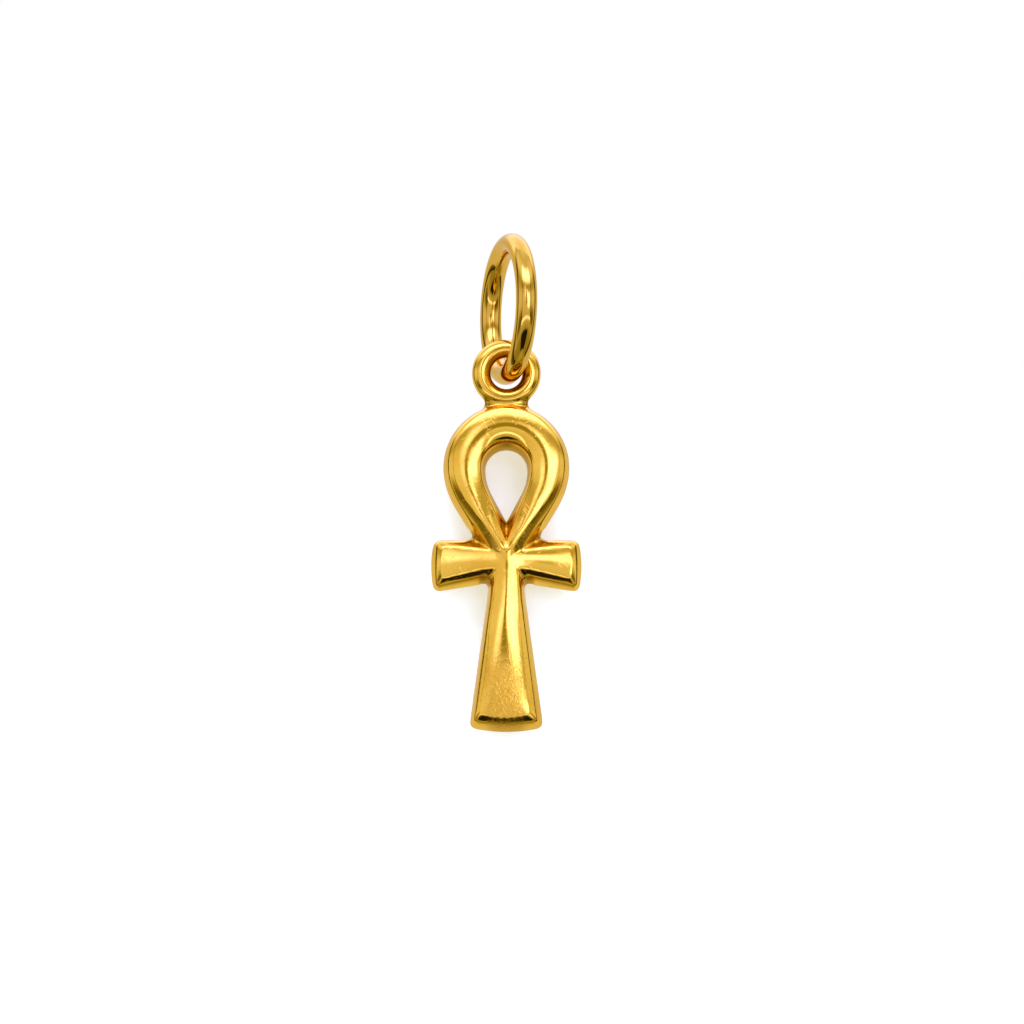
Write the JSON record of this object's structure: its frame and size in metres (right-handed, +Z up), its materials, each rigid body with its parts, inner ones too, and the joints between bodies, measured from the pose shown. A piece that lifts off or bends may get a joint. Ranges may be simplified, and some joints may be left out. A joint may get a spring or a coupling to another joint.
{
  "type": "ankh pendant",
  "caption": "Ankh-shaped pendant in polished yellow gold with a cast eye, hanging from a round jump ring that takes a chain.",
  "frame": {"origin": "highest point of the inside of the jump ring, where a chain carries it", "axes": "+Z up towards the wearer's neck, -Y towards the viewer, +X to the viewer's right"},
  "size_m": [0.007, 0.007, 0.0236],
  "materials": {
    "gold": "polished"
  },
  "bodies": {
    "ring": {"jump_ring": "gold"},
    "cross": {"ankh": "gold"}
  },
  "joints": [
    {"name": "cross_swing", "type": "hinge", "parent": "ring", "child": "cross", "pos_m": [0, 0, -0.00565], "axis": [0.2756, -0.9613, 0], "range_deg": [-135, 135]}
  ]
}
